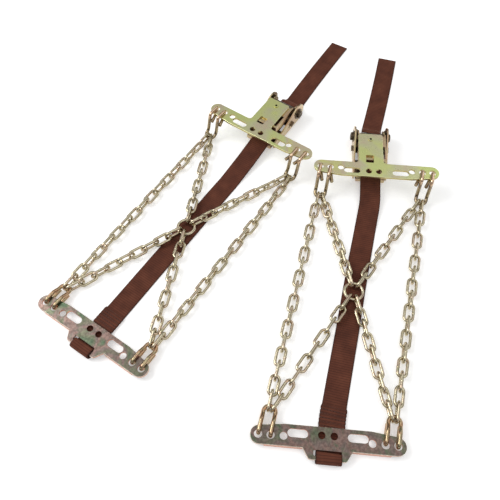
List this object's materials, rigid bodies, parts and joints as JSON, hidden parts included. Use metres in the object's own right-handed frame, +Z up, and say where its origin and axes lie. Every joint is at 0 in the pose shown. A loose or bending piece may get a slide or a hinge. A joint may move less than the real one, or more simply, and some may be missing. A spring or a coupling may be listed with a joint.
{
  "type": "strap-on tyre traction chain pair",
  "caption": "Pair of strap-on tyre traction chains: each has two plates, a net of welded chain between wire hooks, and webbing that tightens in a ratchet buckle.",
  "frame": {"origin": "middle of the pair's bounding box, on the floor that both units lie on", "axes": "+Y along the pair from the anchor plates to the ratchet ends, +X across from the left unit to the right one, +Z up"},
  "size_m": [0.4096, 0.5726, 0.0344],
  "materials": {
    "anchor_zinc": "satin, dark zinc with an iridescent tint",
    "tee_zinc": "satin, yellow zinc chromate",
    "hook_zinc": "satin, golden zinc",
    "chain_zinc": "satin, pale zinc",
    "webbing": "woven polyester",
    "ratchet_zinc": "satin, zinc with a copper tint",
    "ratchet_steel": "satin, dark zinc",
    "spring_steel": "bright wire"
  },
  "bodies": {
    "left_net": {"left_side_chain_left": "chain_zinc", "left_side_chain_right": "chain_zinc", "left_cross_chain_lower_left": "chain_zinc", "left_cross_chain_lower_right": "chain_zinc", "left_cross_chain_upper_left": "chain_zinc", "left_cross_chain_upper_right": "chain_zinc", "left_centre_ring": "chain_zinc", "left_webbing_run": "webbing"},
    "left_lower": {"left_lower_plate": "anchor_zinc", "left_lower_hook_left": "hook_zinc", "left_lower_hook_right": "hook_zinc", "left_webbing_loop": "webbing"},
    "left_upper": {"left_upper_plate": "tee_zinc", "left_upper_hook_left": "hook_zinc", "left_upper_hook_right": "hook_zinc", "left_ratchet_frame": "ratchet_zinc", "left_frame_rivet": "tee_zinc", "left_webbing_tail": "webbing", "left_frame_pawl_spring": "spring_steel"},
    "left_handle": {"left_handle_frame": "ratchet_zinc", "left_handle_grip": "ratchet_zinc", "left_handle_pawl_spring": "spring_steel"},
    "left_spool": {"left_spool": "ratchet_steel", "left_gear_left": "ratchet_steel", "left_gear_right": "ratchet_steel", "left_spool_pins": "ratchet_steel", "left_webbing_in_slot": "webbing"},
    "left_handle_pawl": {"left_handle_pawl": "ratchet_steel"},
    "left_frame_pawl": {"left_frame_pawl": "ratchet_steel"},
    "right_net": {"right_side_chain_left": "chain_zinc", "right_side_chain_right": "chain_zinc", "right_cross_chain_lower_left": "chain_zinc", "right_cross_chain_lower_right": "chain_zinc", "right_cross_chain_upper_left": "chain_zinc", "right_cross_chain_upper_right": "chain_zinc", "right_centre_ring": "chain_zinc", "right_webbing_run": "webbing"},
    "right_lower": {"right_lower_plate": "anchor_zinc", "right_lower_hook_left": "hook_zinc", "right_lower_hook_right": "hook_zinc", "right_webbing_loop": "webbing"},
    "right_upper": {"right_upper_plate": "tee_zinc", "right_upper_hook_left": "hook_zinc", "right_upper_hook_right": "hook_zinc", "right_ratchet_frame": "ratchet_zinc", "right_frame_rivet": "tee_zinc", "right_webbing_tail": "webbing", "right_frame_pawl_spring": "spring_steel"},
    "right_handle": {"right_handle_frame": "ratchet_zinc", "right_handle_grip": "ratchet_zinc", "right_handle_pawl_spring": "spring_steel"},
    "right_spool": {"right_spool": "ratchet_steel", "right_gear_left": "ratchet_steel", "right_gear_right": "ratchet_steel", "right_spool_pins": "ratchet_steel", "right_webbing_in_slot": "webbing"},
    "right_handle_pawl": {"right_handle_pawl": "ratchet_steel"},
    "right_frame_pawl": {"right_frame_pawl": "ratchet_steel"}
  },
  "joints": [
    {"name": "left_lower_swing", "type": "hinge", "parent": "left_net", "child": "left_lower", "pos_m": [-0.12589, -0.22773, 0.0062], "axis": [-0.9848, 0.1736, 0], "range_deg": [0, 15]},
    {"name": "left_upper_swing", "type": "hinge", "parent": "left_net", "child": "left_upper", "pos_m": [-0.08039, 0.03029, 0.0062], "axis": [0.9848, -0.1736, 0], "range_deg": [0, 12]},
    {"name": "left_handle_swing", "type": "hinge", "parent": "left_upper", "child": "left_handle", "pos_m": [-0.0639, 0.12385, 0.014], "axis": [0.9848, -0.1736, 0], "range_deg": [0, 115]},
    {"name": "left_spool_spin", "type": "hinge", "parent": "left_upper", "child": "left_spool", "pos_m": [-0.0639, 0.12385, 0.014], "axis": [0.9848, -0.1736, 0], "continuous": true},
    {"name": "left_handle_pawl_slide", "type": "slide", "parent": "left_handle", "child": "left_handle_pawl", "axis": [-0.1677, -0.9513, -0.2588], "range_m": [0, 0.003], "stiffness_N_per_m": 400, "springref_m": -0.002, "deforming": ["left_handle_pawl_spring"]},
    {"name": "left_frame_pawl_slide", "type": "slide", "parent": "left_upper", "child": "left_frame_pawl", "axis": [-0.1677, -0.9513, 0.2588], "range_m": [0, 0.003], "stiffness_N_per_m": 400, "springref_m": -0.002, "deforming": ["left_frame_pawl_spring"]},
    {"name": "right_lower_swing", "type": "hinge", "parent": "right_net", "child": "right_lower", "pos_m": [0.12839, -0.22773, 0.0062], "axis": [-0.9455, -0.3256, 0], "range_deg": [0, 15]},
    {"name": "right_upper_swing", "type": "hinge", "parent": "right_net", "child": "right_upper", "pos_m": [0.08289, 0.03029, 0.0062], "axis": [0.9455, 0.3256, 0], "range_deg": [0, 12]},
    {"name": "right_handle_swing", "type": "hinge", "parent": "right_upper", "child": "right_handle", "pos_m": [0.05652, 0.1213, 0.014], "axis": [0.9455, 0.3256, 0], "range_deg": [0, 115]},
    {"name": "right_spool_spin", "type": "hinge", "parent": "right_upper", "child": "right_spool", "pos_m": [0.05652, 0.1213, 0.014], "axis": [0.9455, 0.3256, 0], "continuous": true},
    {"name": "right_handle_pawl_slide", "type": "slide", "parent": "right_handle", "child": "right_handle_pawl", "axis": [0.3145, -0.9133, -0.2588], "range_m": [0, 0.003], "stiffness_N_per_m": 400, "springref_m": -0.002, "deforming": ["right_handle_pawl_spring"]},
    {"name": "right_frame_pawl_slide", "type": "slide", "parent": "right_upper", "child": "right_frame_pawl", "axis": [0.3145, -0.9133, 0.2588], "range_m": [0, 0.003], "stiffness_N_per_m": 400, "springref_m": -0.002, "deforming": ["right_frame_pawl_spring"]},
    {"name": "pair_gap", "type": "slide", "parent": "left_net", "child": "right_net", "axis": [1, 0, 0], "range_m": [0, 0.15]}
  ]
}
